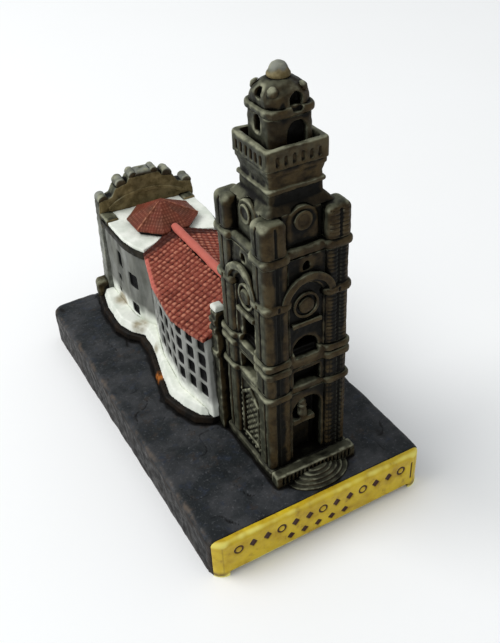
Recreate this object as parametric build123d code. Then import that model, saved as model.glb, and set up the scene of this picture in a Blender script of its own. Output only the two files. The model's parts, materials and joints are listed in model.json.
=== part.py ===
from build123d import *

import math
import os

# A miniature landmark: a baroque tower, the house and oval church behind it, and its gable front, on a slab.
# Millimetres. The slab rests on z = 0, centred on x = y = 0. The tower end and its plaque face -Y.
# Every function named in pieces() makes one piece; the pieces touch and never overlap.

# ---- driving dimensions ------------------------------------------------------------------------
BASE_LENGTH, BASE_WIDTH, BASE_HEIGHT = 95.6, 51.0, 9.8
BASE_CORNER_R = 3.2
BASE_TOP_ROUND = 1.1
PLAQUE_DEPTH = 1.8
GROUND = BASE_HEIGHT
FRONT = -BASE_LENGTH / 2

AXIS_X = 2.6  # the tower and its link wall share this line
TOWER_Y = -29.1
TOWER_HALF = 9.1  # outside of the corner piers, in the shaft
PIER_HALF = 2.6
CORE_HALF = 8.4  # wall face between the piers
WALL_FRONT = TOWER_Y - CORE_HALF
BAY_HALF = 3.6  # half the recess in each wall
DOORWAY_DEPTH, PANEL_DEPTH, BAY_DEPTH, WINDOW_DEPTH = 3.4, 0.4, 0.5, 3.4

# heights of the tower's storeys, bottom to top
Z_PLINTH = 12.4
Z_DOOR = 30.2
Z_LEDGE = 31.8
Z_ATTIC = 36.4
Z_COURSE = 40.0
Z_COLLAR = 51.5
Z_WINDOW = 61.3
Z_BELL = 63.3
Z_CLOCK = 69.8
Z_NECK = 73.4
Z_GALLERY = 77.9
Z_FLOOR = 79.6
Z_PARAPET = 81.6
Z_LANTERN = 85.8
Z_EAVE = 87.4
Z_DOME = 91.3
Z_TOP = 93.8

CLOCK_OUTER = 9.3  # outside of the clock storey's corner pedestals
CLOCK_HALF = 6.9
LANDING_FRONT_Y = -41.2
LANDING_TOP = 12.9
LINK_HALF = 10.3
LINK_TOP = 41.6

# church and house
CHURCH_X = 3.0
CURB_TOP = 11.6
SKIRT_TOP = 13.6
HOUSE_FRONT_Y, HOUSE_BACK_Y = -16.9, 20.0
ROOF_RIDGE_Z = 37.6
ROOF_SLOPE = 0.27
ROOF_THICK = 0.9
EAVE_OVERHANG = 0.9
NAVE_Y, NAVE_RX, NAVE_RY = 30.0, 12.0, 16.5
NAVE_BACK_Y = 43.0
Z_CORNICE = 33.2
Z_TERRACE = 34.9
Z_LEDGE_TOP = 35.8
Z_DRUM = 36.8
Z_HIP = 41.4
HIP_Y, DRUM_R, HIP_R = 30.4, 8.3, 9.0
DRUM_FRONT_Y = HIP_Y - DRUM_R * math.cos(math.pi / 8)

# gable front
FACADE_X, FACADE_Y0, FACADE_THICK = 3.4, 41.2, 3.9
FACADE_TURN = -4.0
RETURN_Y = 37.3
FACADE_HALF_TOP, FACADE_HALF_FOOT = 12.8, 13.8
Z_SHOULDER = 37.9


# ---- small shapes ------------------------------------------------------------------------------
def block(x0, x1, y0, y1, z0, z1):
    """A plain box between two corners."""
    return Pos((x0 + x1) / 2, (y0 + y1) / 2, (z0 + z1) / 2) * Box(x1 - x0, y1 - y0, z1 - z0)


def post(x, y, half, z0, z1, corner=0.0, top=0.0):
    """A square post with rounded upright edges and, if asked, a rounded top."""
    shape = Pos(x, y, (z0 + z1) / 2) * Box(2 * half, 2 * half, z1 - z0)
    if corner:
        shape = fillet(shape.edges().filter_by(Axis.Z), corner)
    if top:
        shape = fillet(shape.faces().sort_by(Axis.Z)[-1].edges(), top)
    return shape


def tower_post(half, z0, z1, corner=0.0, top=0.0):
    """A square post on the tower's axis."""
    return post(AXIS_X, TOWER_Y, half, z0, z1, corner, top)


def turned(x, y, profile):
    """A solid of revolution about the upright line at x, y, from (radius, z) points on one side."""
    outline = Polyline((0, 0, profile[0][1]), *[(r, 0, z) for r, z in profile], (0, 0, profile[-1][1]))
    face = make_face(outline + Line((0, 0, profile[-1][1]), (0, 0, profile[0][1])))
    return Pos(x, y, 0) * revolve(face, Axis.Z, 360)


def arch_prism(x, z0, half, rise, y0, y1):
    """A round-headed opening's volume: half width, springing at z0 + rise, running from y0 to y1."""
    box = block(x - half, x + half, y0, y1, z0, z0 + rise)
    head = Pos(x, (y0 + y1) / 2, z0 + rise) * Rot(90, 0, 0) * Cylinder(half, y1 - y0)
    return box + head


def four_sides(shape):
    """The shape and its three copies turned about the tower's axis."""
    turn = Pos(AXIS_X, TOWER_Y, 0)
    local = Pos(-AXIS_X, -TOWER_Y, 0) * shape
    return [turn * Rot(0, 0, 90 * i) * local for i in range(4)]


def corners(distance):
    """The four corner places round the tower's axis."""
    return [(AXIS_X + sx * distance, TOWER_Y + sy * distance) for sx in (-1, 1) for sy in (-1, 1)]


def mirrored(points, centre=CHURCH_X):
    """A closed outline from the points of its right half, each (distance from the centre line, y)."""
    left = [(centre - dx, y) for dx, y in points]
    right = [(centre + dx, y) for dx, y in reversed(points)]
    return make_face(Polyline(*left, *right, close=True))


def prism(face, z0, z1, taper=0.0):
    """An outline raised from z0 to z1, leaning inwards by taper degrees."""
    return Pos(0, 0, z0) * extrude(face, z1 - z0, taper=taper)


def cut_all(shape, tools):
    """The shape less every tool."""
    for tool in tools:
        shape = shape - tool
    return shape


def largest(shape):
    """The biggest of the solids that a cut leaves."""
    return shape.solids().sort_by(SortBy.VOLUME)[-1]


def group(shapes):
    """Several separate solids as one node."""
    solids = []
    for shape in shapes:
        solids.extend(shape.solids())
    return Compound(children=solids)


# ---- base --------------------------------------------------------------------------------------
def rounded_slab():
    slab = Pos(0, 0, BASE_HEIGHT / 2) * Box(BASE_WIDTH, BASE_LENGTH, BASE_HEIGHT)
    slab = fillet(slab.edges().filter_by(Axis.Z), BASE_CORNER_R)
    return fillet(slab.faces().sort_by(Axis.Z)[-1].edges(), BASE_TOP_ROUND)


def front_strip():
    return block(-BASE_WIDTH, BASE_WIDTH, FRONT - 5, FRONT + PLAQUE_DEPTH, -5, BASE_HEIGHT + 5)


def base_slab():
    """The dark slab, less the strip that the plaque takes."""
    return rounded_slab() - front_strip()


def lozenge(x, z, half_w, half_h, depth):
    """A diamond pocket in the plaque's face."""
    points = [(x - half_w, z), (x, z + half_h), (x + half_w, z), (x, z - half_h)]
    face = make_face(Polyline(*[(px, FRONT - 1, pz) for px, pz in points], close=True))
    return extrude(face, depth + 1, dir=(0, 1, 0))


def front_plaque():
    """The bright front strip, arched underneath between two feet, with a plain engraved ornament."""
    plaque = rounded_slab() & front_strip()
    foot, arch_height = 3.4, 1.2
    reach = BASE_WIDTH / 2 - foot
    plaque = plaque - block(-reach, reach, FRONT - 1, FRONT + PLAQUE_DEPTH + 1, -1, arch_height)
    engraving = 0.35
    upper, lower, pitch = 6.4, 3.0, 3.3
    for i in range(-6, 7):
        x = i * pitch
        if i % 3 == 0:
            ring = Pos(x, FRONT, upper) * Rot(90, 0, 0) * (Cylinder(1.2, 2 * engraving) - Cylinder(0.6, 1))
            plaque = plaque - ring
        else:
            plaque = plaque - lozenge(x, upper, 1.1, 1.3, engraving)
    for i in range(-2, 3):
        plaque = plaque - lozenge(i * pitch - 1.2, lower, 1.1, 1.1, engraving)
    return plaque - block(22.4, 22.9, FRONT - 1, FRONT + engraving, 2.4, 7.6)


# ---- tower -------------------------------------------------------------------------------------
def piers(z0, z1, outer=TOWER_HALF, half=PIER_HALF, corner=1.3, top=0.0):
    return [post(x, y, half, z0, z1, corner, top) for x, y in corners(outer - half)]


def storey(z0, z1, pockets):
    """A storey's walls: a square core with its corners given up to the piers, and pockets cut in."""
    walls = cut_all(tower_post(CORE_HALF, z0, z1), piers(z0 - 1, z1 + 1))
    return cut_all(walls, pockets)


def moulding(z0, z1, half, round_over):
    """A string course that steps out with the piers: thick, with rounded edges."""
    body = tower_post(half - 1.0, z0, z1)
    for x, y in corners(half - 3.0):
        body = body + post(x, y, 3.0, z0, z1, 1.2)
    edges = body.edges().filter_by(Axis.Z, reverse=True)
    return fillet(edges, round_over)


def tower_plinth():
    plinth = tower_post(TOWER_HALF + 0.4, GROUND, Z_PLINTH, 0.8)
    return chamfer(plinth.faces().sort_by(Axis.Z)[-1].edges(), 0.4)


def doorway_pocket():
    return arch_prism(AXIS_X, Z_PLINTH, BAY_HALF - 0.2, 12.6, WALL_FRONT - 1, WALL_FRONT + DOORWAY_DEPTH)


def panel_pockets(z0, z1, depth):
    half = BAY_HALF - 0.1
    panel = block(AXIS_X - half, AXIS_X + half, WALL_FRONT - 1, WALL_FRONT + depth, z0, z1)
    return four_sides(panel)


def door_storey():
    sides = panel_pockets(Z_PLINTH + 1.2, Z_DOOR - 1.6, PANEL_DEPTH)[1:]
    return storey(Z_PLINTH, Z_DOOR, [doorway_pocket()] + sides)


def door_piers():
    return group(piers(Z_PLINTH, Z_DOOR))


def door_leaf():
    """The closed door at the back of the doorway."""
    back = WALL_FRONT + DOORWAY_DEPTH
    door = block(AXIS_X - 2.1, AXIS_X + 2.1, back - 0.6, back, Z_PLINTH, Z_PLINTH + 7.4)
    groove = block(AXIS_X - 0.15, AXIS_X + 0.15, back - 1, back - 0.35, Z_PLINTH - 1, Z_PLINTH + 9)
    return door - groove


def niche_statue():
    """A plain standing figure in the doorway's head: body and ball head, with no features."""
    y = WALL_FRONT + DOORWAY_DEPTH - 1.4
    z = Z_PLINTH + 9.2
    ledge = block(AXIS_X - 2.6, AXIS_X + 2.6, y - 0.9, y + 1.4, z - 1.2, z)
    body = turned(AXIS_X, y, [(0.9, z), (1.05, z + 0.8), (0.75, z + 2.4), (0.95, z + 3.0), (0.4, z + 3.5)])
    head = Pos(AXIS_X, y, z + 3.9) * Sphere(0.75)
    return ledge + body + head


def gable_outline(half, z0, z_eave, z_peak, y):
    """A pentagon standing in the plane at y: upright sides and a peaked top."""
    points = [(-half, z0), (half, z0), (half, z_eave), (0, z_peak), (-half, z_eave)]
    return make_face(Polyline(*[(AXIS_X + px, y, pz) for px, pz in points], close=True))


def side_gablets():
    """The peaked frame on the three plain sides of the door storey."""
    face_y = WALL_FRONT + PANEL_DEPTH
    z0, rise, peak, width, proud = Z_PLINTH + 1.2, 11.6, 14.6, 0.7, 0.6
    half = BAY_HALF - 0.1
    outer = gable_outline(half, z0, z0 + rise, z0 + peak, face_y)
    inner = gable_outline(half - width, z0 + width, z0 + rise - 0.4, z0 + peak - 1.2, face_y)
    relief = extrude(outer, proud, dir=(0, -1, 0)) - extrude(inner, proud, dir=(0, -1, 0))
    return group(four_sides(relief)[1:])


def ledge_course():
    return moulding(Z_DOOR, Z_LEDGE, TOWER_HALF + 0.5, 0.6)


def attic_storey():
    half = BAY_HALF - 0.6
    slot = block(AXIS_X - half, AXIS_X + half, WALL_FRONT - 1, WALL_FRONT + 2.4, Z_LEDGE, Z_ATTIC - 0.8)
    return storey(Z_LEDGE, Z_ATTIC, four_sides(slot))


def attic_piers():
    return group(piers(Z_LEDGE, Z_ATTIC))


def double_course():
    """Two thick mouldings with a groove between them, dipping under the opening in each wall."""
    middle, gap = (Z_ATTIC + Z_COURSE) / 2, 0.2
    lower = moulding(Z_ATTIC, middle - gap, TOWER_HALF + 0.5, 0.55)
    upper = moulding(middle + gap, Z_COURSE, TOWER_HALF + 0.5, 0.55)
    body = lower + tower_post(TOWER_HALF - 0.5, middle - gap - 0.1, middle + gap + 0.1) + upper
    half, sunk = 2.7, 1.3
    x0, x1, low = AXIS_X - half, AXIS_X + half, Z_COURSE - sunk
    dip = block(x0, x1, WALL_FRONT - 2, WALL_FRONT + 1.6, low, Z_COURSE + 1)
    return cut_all(body, four_sides(dip))


def window_storey():
    """The tall storey: an opening low in each wall, wide and flat in front, with a blind arch above it."""
    bay = arch_prism(AXIS_X, Z_COURSE, BAY_HALF, 12.0, WALL_FRONT - 1, WALL_FRONT + BAY_DEPTH)
    lunette = arch_prism(AXIS_X, Z_COURSE, 2.9, 0.2, WALL_FRONT - 1, WALL_FRONT + WINDOW_DEPTH)
    window = arch_prism(AXIS_X, Z_COURSE, 2.3, 4.0, WALL_FRONT - 1, WALL_FRONT + WINDOW_DEPTH)
    slit = arch_prism(AXIS_X, Z_COURSE + 18.4, 0.8, 1.0, WALL_FRONT - 1, WALL_FRONT + 1.6)
    pockets = four_sides(bay) + [lunette] + four_sides(window)[1:] + four_sides(slit)
    return cut_all(tower_post(CORE_HALF, Z_COURSE, Z_WINDOW), pockets + window_piers().solids())


def window_piers():
    """Corner piers with a thick round collar at the springing of the arches."""
    shapes = []
    for x, y in corners(TOWER_HALF - PIER_HALF):
        shaft = post(x, y, PIER_HALF, Z_COURSE, Z_WINDOW, 1.3)
        collar = post(x, y, PIER_HALF + 0.55, Z_COLLAR, Z_COLLAR + 2.0, 1.6)
        collar = fillet(collar.edges().filter_by(Axis.Z, reverse=True), 0.8)
        shapes.append(shaft + collar)
    return group(shapes)


def half_ring(outer_r, inner_r, y0, y1, spring):
    """The upper half of a ring that stands in the wall's plane."""
    ring = Rot(90, 0, 0) * (Cylinder(outer_r, y1 - y0) - Cylinder(inner_r, y1 - y0))
    return Pos(AXIS_X, (y0 + y1) / 2, spring) * ring & block(-20, 20, y0 - 1, y1 + 1, spring, spring + 10)


def arch_hoods():
    """A thick hood over each blind arch, springing from the piers' collars, with a thinner arch inside it."""
    spring = Z_COLLAR + 0.6
    roll = half_ring(5.9, 4.5, WALL_FRONT - 1.1, WALL_FRONT, spring)
    hood = roll + half_ring(4.6, 3.6, WALL_FRONT - 0.3, WALL_FRONT, spring)
    return group(four_sides(cut_all(hood, window_piers().solids())))


def shield_reliefs():
    """A blank round shield with a sill under it in each blind arch."""
    back, z = WALL_FRONT + BAY_DEPTH, 50.6
    boss = Pos(AXIS_X, back - 0.35, z) * Rot(90, 0, 0) * Cylinder(1.7, 0.7)
    boss = fillet(boss.faces().sort_by(Axis.Y)[0].edges(), 0.5)
    wreath = Pos(AXIS_X, back - 0.25, z) * Rot(90, 0, 0) * (Cylinder(2.8, 0.5) - Cylinder(2.2, 0.5))
    sill = block(AXIS_X - 3.2, AXIS_X + 3.2, back - 0.9, back, 46.3, 47.2)
    return group(four_sides(boss) + four_sides(sill) + four_sides(wreath))


def bell_course():
    return moulding(Z_WINDOW, Z_BELL, TOWER_HALF + 0.5, 0.85)


def clock_pediments():
    """The round-topped panel that frames each dial and rises over the pedestals."""
    half, spring, proud, thick = 3.2, 67.5, 0.3, 2.2
    y0 = TOWER_Y - CLOCK_HALF - proud
    return four_sides(arch_prism(AXIS_X, Z_BELL, half, spring - Z_BELL, y0, y0 + thick))


def clock_storey():
    """The walls set back between the pedestals, with a round-topped panel on each side."""
    walls = cut_all(tower_post(CLOCK_HALF, Z_BELL, Z_CLOCK), clock_pedestals(Z_BELL - 1, Z_CLOCK + 1))
    for panel in clock_pediments():
        walls = walls + panel
    return walls


def clock_pedestals(z0, z1, top=0.0):
    return piers(z0, z1, CLOCK_OUTER, 2.6, 1.4, top)


def clock_piers():
    """Four corner pedestals with rounded tops."""
    return group(clock_pedestals(Z_BELL, Z_CLOCK, 1.3))


def clock_dials():
    """A low ring and boss on each side, with no numerals."""
    front, z = TOWER_Y - CLOCK_HALF - 0.3, 68.0
    ring_proud, face_proud = 0.5, 0.25
    ring = Rot(90, 0, 0) * (Cylinder(1.9, ring_proud) - Cylinder(1.3, ring_proud))
    face = Rot(90, 0, 0) * Cylinder(1.3, face_proud)
    dial = Pos(AXIS_X, front - ring_proud / 2, z) * ring + Pos(AXIS_X, front - face_proud / 2, z) * face
    return group(four_sides(dial))


def rounded_square(half, corner, z):
    """A square outline with rounded corners on the tower's axis, at height z."""
    return Pos(AXIS_X, TOWER_Y, z) * RectangleRounded(2 * half, 2 * half, corner)


def neck():
    """Sloping shoulders over the clock storey and the plain block they rise to."""
    top = Z_CLOCK + 1.5
    shoulders = loft([rounded_square(7.0, 1.0, Z_CLOCK), rounded_square(5.7, 0.8, top)])
    return cut_all(shoulders + tower_post(5.5, top, Z_NECK, 0.6), clock_pediments())


def gallery_cornice():
    """The cornice that widens upward in shallow steps to carry the gallery."""
    lip = fillet(tower_post(5.9, Z_NECK, Z_NECK + 0.8, 0.7).edges().filter_by(Axis.Z, reverse=True), 0.3)
    waist = tower_post(5.35, Z_NECK + 0.8, Z_NECK + 2.0, 0.6)
    flare = loft([rounded_square(5.4, 0.6, Z_NECK + 2.0), rounded_square(5.75, 0.7, Z_NECK + 3.4)])
    head = tower_post(5.95, Z_NECK + 3.4, Z_GALLERY, 0.7)
    return lip + waist + flare + head


def gallery_parapet():
    """A square tray: floor, four walls with slots between the balusters, and a rail."""
    outer, wall = 6.25, 1.1
    body = tower_post(outer, Z_GALLERY, Z_PARAPET, 1.0)
    body = body - tower_post(outer - wall, Z_FLOOR, Z_PARAPET + 1, 0.8)
    body = fillet(body.faces().sort_by(Axis.Z)[-1].outer_wire().edges(), 0.4)
    front, count, pitch = TOWER_Y - outer, 6, 1.65
    for i in range(count):
        x = AXIS_X + (i - (count - 1) / 2) * pitch
        slot = block(x - 0.35, x + 0.35, front - 1, front + 0.45, Z_GALLERY + 0.5, Z_PARAPET - 1.3)
        body = cut_all(body, four_sides(slot))
    return body


def lantern():
    """The little room over the gallery: a wide doorway in front, a small high window in each other side."""
    half = 4.35
    y0, y1 = TOWER_Y - half - 1, TOWER_Y - half + 1.3
    room = tower_post(half, Z_FLOOR, Z_LANTERN, 1.6)
    doorway = arch_prism(AXIS_X + 0.9, Z_FLOOR, 2.0, 3.3, y0, y1)
    window = arch_prism(AXIS_X, Z_LANTERN - 3.2, 1.0, 2.0, y0, y1)
    return cut_all(room, [doorway] + four_sides(window)[1:])


def lantern_cornice():
    """The thick rolled cornice, chipped away in front under the dome's niche."""
    cornice = tower_post(4.8, Z_LANTERN, Z_EAVE, 1.9)
    cornice = fillet(cornice.edges().filter_by(Axis.Z, reverse=True), 0.6)
    x, y = AXIS_X + NICHE_OFFSET, TOWER_Y - 4.8
    return cornice - block(x - 0.9, x + 1.1, y - 1, y + 0.9, Z_EAVE - 0.9, Z_EAVE + 1)


NICHE_OFFSET = 0.7  # the front niche stands to the right of the axis
DOME_PROFILE = [(5.0, 0.0), (5.0, 0.8), (4.7, 1.7), (4.1, 2.5), (3.3, 3.2), (2.3, 3.75), (2.0, 3.9)]


def dome():
    """A low bulging dome, squared to the cornice: a deep niche in front and three small ones round it."""
    full = turned(AXIS_X, TOWER_Y, [(r, Z_EAVE + rise) for r, rise in DOME_PROFILE])
    deep = arch_prism(AXIS_X + NICHE_OFFSET, Z_EAVE + 0.1, 1.3, 0.9, TOWER_Y - 6, TOWER_Y - 2.6)
    small = arch_prism(AXIS_X + 0.4, Z_EAVE + 1.2, 0.9, 0.8, TOWER_Y - 6, TOWER_Y - 3.0)
    return cut_all(full & tower_post(4.3, Z_EAVE, Z_DOME, 1.9), [deep] + four_sides(small)[1:])


def dome_urns():
    """Four stub urns on the eave's corners, half sunk in the dome."""
    z = Z_EAVE
    profile = [(0.7, z), (0.9, z + 0.8), (0.85, z + 1.4), (1.1, z + 2.1), (0.95, z + 2.8), (0.35, z + 3.3)]
    return group([largest(turned(x, y, profile) - dome()) for x, y in corners(2.7)])


def finial():
    """The thick knob that tops the dome."""
    z = Z_DOME
    profile = [(2.0, z), (2.05, z + 0.5), (1.65, z + 1.1), (1.5, z + 1.6), (1.2, z + 2.1), (0.5, Z_TOP)]
    return turned(AXIS_X, TOWER_Y, profile)


def entrance_landing():
    """The thick doorstep across the front of the tower, its face ribbed with a row of upright grooves."""
    back = TOWER_Y - TOWER_HALF - 0.4
    x0, x1 = AXIS_X - TOWER_HALF - 0.4, AXIS_X + TOWER_HALF + 0.5
    step = block(x0, x1, LANDING_FRONT_Y, back, GROUND, LANDING_TOP)
    step = fillet(step.faces().sort_by(Axis.Z)[-1].edges() + step.edges().filter_by(Axis.Z), 0.4)
    pitch, half, depth = 0.95, 0.25, 0.7
    count = int((x1 - x0 - 2.0) / pitch)
    for i in range(count):
        x = (x0 + x1) / 2 + (i - (count - 1) / 2) * pitch
        step = step - block(x - half, x + half, LANDING_FRONT_Y - 1, LANDING_FRONT_Y + depth, 10.3, 12.5)
    return step


def entrance_steps():
    """Half-round steps, each smaller than the one under it."""
    centre_x, rise, count = 2.7, 0.42, 5
    body = None
    for i in range(count):
        rx, ry = 7.0 - 1.2 * i, 4.4 - 0.8 * i
        face = make_face(Ellipse(rx, ry).edge())
        step = Pos(centre_x, LANDING_FRONT_Y, GROUND + rise * i) * extrude(face, rise)
        body = step if body is None else body + step
    return body & block(-20, 20, FRONT, LANDING_FRONT_Y, GROUND, LANDING_TOP)


# ---- link between tower and house --------------------------------------------------------------
def link_wall():
    """The stone wall that closes the house behind the tower, with the tower's courses carried on."""
    y0, y1 = TOWER_Y + TOWER_HALF + 0.5, HOUSE_FRONT_Y
    wall = block(AXIS_X - LINK_HALF, AXIS_X + LINK_HALF, y0, y1, GROUND, LINK_TOP)
    wall = fillet(wall.faces().sort_by(Axis.Z)[-1].edges(), 0.5)
    for z in (Z_DOOR, Z_ATTIC, Z_ATTIC + 2.0):
        reach = LINK_HALF + 0.4
        wall = wall + block(AXIS_X - reach, AXIS_X + reach, y0, y1, z, z + 1.4)
    return wall


def link_caps():
    """A light cap on each end of the link wall."""
    half_x, y0, y1 = 1.1, TOWER_Y + TOWER_HALF + 0.7, HOUSE_FRONT_Y - 0.1
    caps = []
    for side in (-1, 1):
        x = AXIS_X + side * (LINK_HALF - half_x - 0.1)
        cap = block(x - half_x, x + half_x, y0, y1, LINK_TOP, LINK_TOP + 1.3)
        caps.append(fillet(cap.faces().sort_by(Axis.Z)[-1].edges(), 0.6))
    return group(caps)


# ---- church and house --------------------------------------------------------------------------
CURB_OUTLINE = [(12.6, 46.2), (16.2, 43.5), (17.8, 36.0), (18.1, 27.0), (16.4, 22.2), (14.4, 19.5)]
CURB_OUTLINE += [(14.6, 14.0), (16.9, 4.0), (18.6, -4.5), (17.6, -9.5), (15.6, -14.5), (12.4, -16.9)]
WALL_OUTLINE = [(9.2, HOUSE_BACK_Y), (12.6, 8.0), (14.2, -5.5), (12.8, -13.5), (12.0, HOUSE_FRONT_Y)]


def inset(points, distance):
    """The outline drawn in towards the centre line."""
    return [(dx - distance, y) for dx, y in points]


def nave_face(grow=0.0):
    """The church's plan: half an oval towards the house and straight sides back to the gable front."""
    half = NAVE_RX + grow
    oval = Pos(CHURCH_X, NAVE_Y) * Ellipse(half, NAVE_RY + grow)
    front = oval & (Pos(CHURCH_X, NAVE_Y - 20) * Rectangle(60, 40))
    return front + Pos(CHURCH_X, (NAVE_Y + NAVE_BACK_Y) / 2) * Rectangle(2 * half, NAVE_BACK_Y - NAVE_Y)


def house_face():
    return mirrored(WALL_OUTLINE)


def ground_curb():
    """The dark kerb under the church."""
    curb = prism(mirrored(CURB_OUTLINE), GROUND, CURB_TOP, taper=12)
    return cut_all(curb - behind_facade(FACADE_THICK / 2), [facade_wall(), facade_buttresses()])


def plaster_skirt():
    """The white apron that flares from the walls down to the kerb."""
    skirt = prism(mirrored(inset(CURB_OUTLINE, 1.5)), CURB_TOP, SKIRT_TOP, taper=24)
    skirt = cut_all(skirt - behind_facade(FACADE_THICK / 2), [facade_wall(), facade_buttresses()])
    return skirt - church_footprint(CURB_TOP - 1, SKIRT_TOP + 1)


def behind_facade(start=0.0):
    """The space beyond the gable front's inner face, or from start behind that face."""
    return turned_gable(block(-60, 60, start, 60, -5, 80))


def church_footprint(z0, z1):
    return prism(nave_face(), z0, z1) + prism(house_face(), z0, z1)


def window_box(x, y, angle, half, z0, z1, depth=0.8):
    """A pocket for a window in a wall whose outward normal points along angle, in degrees from -X."""
    box = Box(2 * depth, 2 * half, z1 - z0)
    return Pos(x, y, (z0 + z1) / 2) * Rot(0, 0, angle) * box


def outline_at(y):
    """Half the house's width at y, and how fast it changes with y, from the wall's outline."""
    for (dx0, y0), (dx1, y1) in zip(WALL_OUTLINE, WALL_OUTLINE[1:]):
        if y1 <= y <= y0:
            slope = (dx1 - dx0) / (y1 - y0)
            return dx0 + slope * (y - y0), slope
    return WALL_OUTLINE[0][0], 0.0


def wall_windows():
    """Four rows of windows in eight columns along each side of the house."""
    first_y, column_pitch, columns = 14.6, -4.15, 8
    first_z, row_pitch, rows = 18.4, 4.2, 4
    half_width, half_height = 1.25, 1.65
    pockets = []
    for side in (-1, 1):
        for i in range(columns):
            y = first_y + i * column_pitch
            dx, slope = outline_at(y)
            for j in range(rows):
                z = first_z + j * row_pitch
                turn = side * math.degrees(math.atan(slope)) * -1
                x = CHURCH_X + side * dx
                pockets.append(window_box(x, y, turn, half_width, z - half_height, z + half_height))
    return pockets


def roof_prism(lift, z_low):
    """The gable roof's volume above z_low: a ridge along the church's centre line, raised by lift."""
    reach, half_length = 30.0, 40.0
    top = ROOF_RIDGE_Z + lift
    eave = top - ROOF_SLOPE * reach
    if eave > z_low:
        points = [(-reach, z_low), (reach, z_low), (reach, eave), (0, top), (-reach, eave)]
    else:
        run = (top - z_low) / ROOF_SLOPE
        points = [(-run, z_low), (run, z_low), (0, top)]
    face = make_face(Polyline(*[(CHURCH_X + dx, -half_length, z) for dx, z in points], close=True))
    return extrude(face, 2 * half_length, dir=(0, 1, 0))


def house_walls():
    body = prism(house_face(), CURB_TOP, ROOF_RIDGE_Z) & roof_prism(-ROOF_THICK, CURB_TOP - 20)
    body = body - prism(nave_face(), 0, Z_CORNICE)
    return cut_all(body, wall_windows())


def roof_plan():
    """The house's outline out to the eaves, with a tongue that reaches back to the church's drum."""
    return mirrored([(3.2, DRUM_FRONT_Y)] + [(dx + EAVE_OVERHANG, y) for dx, y in WALL_OUTLINE])


def house_under_roof():
    """Everything the house and its roof take up, for the church's ledges to stop against."""
    return prism(roof_plan(), CURB_TOP, 60) & roof_prism(2.0, CURB_TOP - 20)


def roof_slab():
    """The shallow roof's full thickness, before the ridge tile is let in."""
    slab = prism(roof_plan(), CURB_TOP, ROOF_RIDGE_Z + 2)
    return slab & (roof_prism(0, CURB_TOP - 20) - roof_prism(-ROOF_THICK, CURB_TOP - 20))


def house_roof():
    """The shallow tiled roof with its eaves overhanging the walls."""
    return roof_slab() - ridge_rod(-60, 60)


def ridge_rod(y0, y1):
    return Pos(CHURCH_X, (y0 + y1) / 2, ROOF_RIDGE_Z) * Rot(90, 0, 0) * Cylinder(1.1, y1 - y0)


def ridge_cap():
    """The thick round ridge tile, from the gable end to the foot of the hip roof."""
    rod = ridge_rod(HOUSE_FRONT_Y, DRUM_FRONT_Y + 0.6) - roof_prism(-ROOF_THICK, CURB_TOP - 20)
    return cut_all(rod, [roof_drum(), hip_roof()])


# windows in the oval part: degrees round from the side, half width, bottom z, top z
OVAL_OPENINGS = [(13.4, 1.9, 22.0, 26.0), (11.2, 1.7, 13.7, 16.8)]
# windows in the straight sides: y, half width, bottom z, top z
SIDE_OPENINGS = [(33.2, 1.3, 24.6, 29.2), (35.0, 1.0, 19.4, 21.4), (36.3, 0.9, 15.0, 16.8)]


def nave_windows():
    """Windows in the oval part and in the straight sides."""
    pockets = []
    for side in (-1, 1):
        for angle, half, z0, z1 in OVAL_OPENINGS:
            t = math.radians(angle)
            x = CHURCH_X + side * NAVE_RX * math.cos(t)
            y = NAVE_Y - NAVE_RY * math.sin(t)
            normal = math.degrees(math.atan2(math.sin(t) / NAVE_RY, math.cos(t) / NAVE_RX))
            pockets.append(window_box(x, y, -side * normal, half, z0, z1))
        for y, half, z0, z1 in SIDE_OPENINGS:
            pockets.append(window_box(CHURCH_X + side * NAVE_RX, y, 0.0, half, z0, z1))
    return pockets


def nave_walls():
    return cut_all(prism(nave_face(), CURB_TOP, Z_CORNICE), nave_windows() + [behind_facade()])


def nave_cornice():
    ring = prism(nave_face(0.7), Z_CORNICE, Z_TERRACE)
    return cut_all(ring - house_under_roof(), [behind_facade()] + facade_returns().solids())


def nave_terrace():
    """The white ledge that rings the roof drum."""
    ledge = prism(nave_face(0.2), Z_TERRACE, Z_LEDGE_TOP)
    return cut_all(ledge - house_under_roof(), [behind_facade()] + facade_returns().solids())


def octagon(radius):
    """An octagon with a flat side to the front; radius is measured to its corners."""
    points = []
    for i in range(8):
        t = math.radians(22.5 + 45 * i)
        points.append((CHURCH_X + radius * math.cos(t), HIP_Y + radius * math.sin(t)))
    return make_face(Polyline(*points, close=True))


def roof_drum():
    return prism(octagon(DRUM_R), Z_LEDGE_TOP, Z_DRUM)


def hip_roof():
    """Eight tiled slopes that rise to a short top."""
    eave_top = Z_DRUM + 0.5
    eave = prism(octagon(HIP_R), Z_DRUM, eave_top)
    low = Pos(0, 0, eave_top) * octagon(HIP_R)
    top = Pos(0, 0, Z_HIP) * octagon(0.9)
    return eave + loft([low, top]) - roof_slab()


# ---- gable front -------------------------------------------------------------------------------
def turned_gable(shape):
    """The gable front stands a few degrees off square."""
    place = Pos(FACADE_X, FACADE_Y0, 0)
    return place * Rot(0, 0, FACADE_TURN) * shape


CREST = [(12.6, 1.2), (9.0, 1.9), (7.8, 4.0), (4.8, 4.7), (3.9, 6.0)]  # half width, height over the shoulder


def facade_wall():
    """The tall gable front, seen from behind: leaning sides and a stepped crest."""
    half = [(FACADE_HALF_FOOT, GROUND), (FACADE_HALF_TOP, Z_SHOULDER)]
    half += [(dx, Z_SHOULDER + rise) for dx, rise in CREST]
    right = [(dx, 0, z) for dx, z in half]
    left = [(-dx, 0, z) for dx, z in reversed(half)]
    face = make_face(Polyline(*right, *left, close=True))
    return turned_gable(extrude(face, FACADE_THICK, dir=(0, 1, 0)))


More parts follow.
